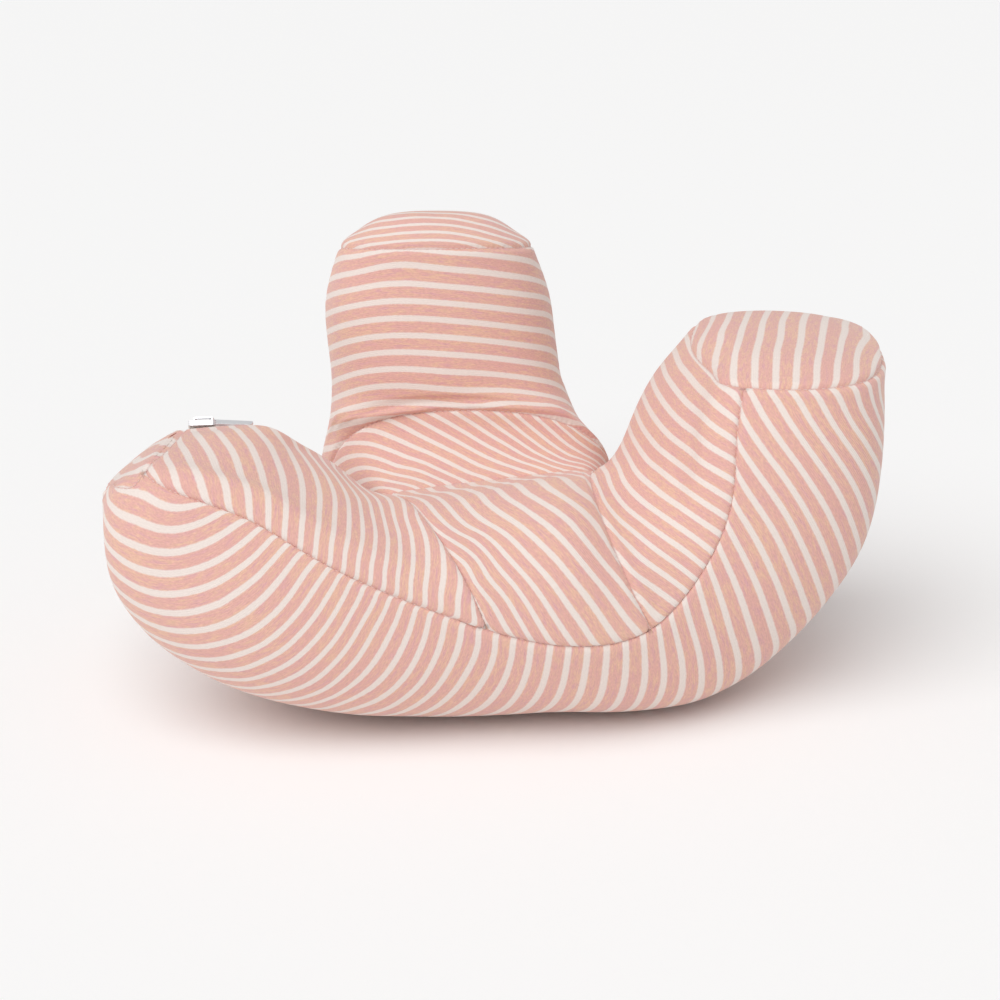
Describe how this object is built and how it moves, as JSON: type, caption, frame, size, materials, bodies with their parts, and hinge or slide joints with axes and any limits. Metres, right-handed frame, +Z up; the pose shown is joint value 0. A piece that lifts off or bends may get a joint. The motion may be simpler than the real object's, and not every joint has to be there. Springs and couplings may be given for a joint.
{
  "type": "desk nap pillow",
  "caption": "Stuffed pillow with arms that curl up from a low hub, to rest the head or arms on at a desk.",
  "frame": {"origin": "on the face that the pillow rests on, under the middle of its outline seen from above", "axes": "+Z up, +X from the left arm to the right arm, +Y towards the back arm, so a viewer in front looks along +Y"},
  "size_m": [0.3108, 0.2068, 0.1753],
  "materials": {
    "striped_jersey": "pink melange jersey with off-white stripes, matt",
    "zip_nylon": "off-white nylon coil",
    "zip_metal": "silver coloured zip metal"
  },
  "bodies": {
    "root": {"pillow": "striped_jersey", "zip_coil": "zip_nylon", "zip_slider": "zip_metal", "zip_pull": "zip_metal"}
  },
  "joints": []
}
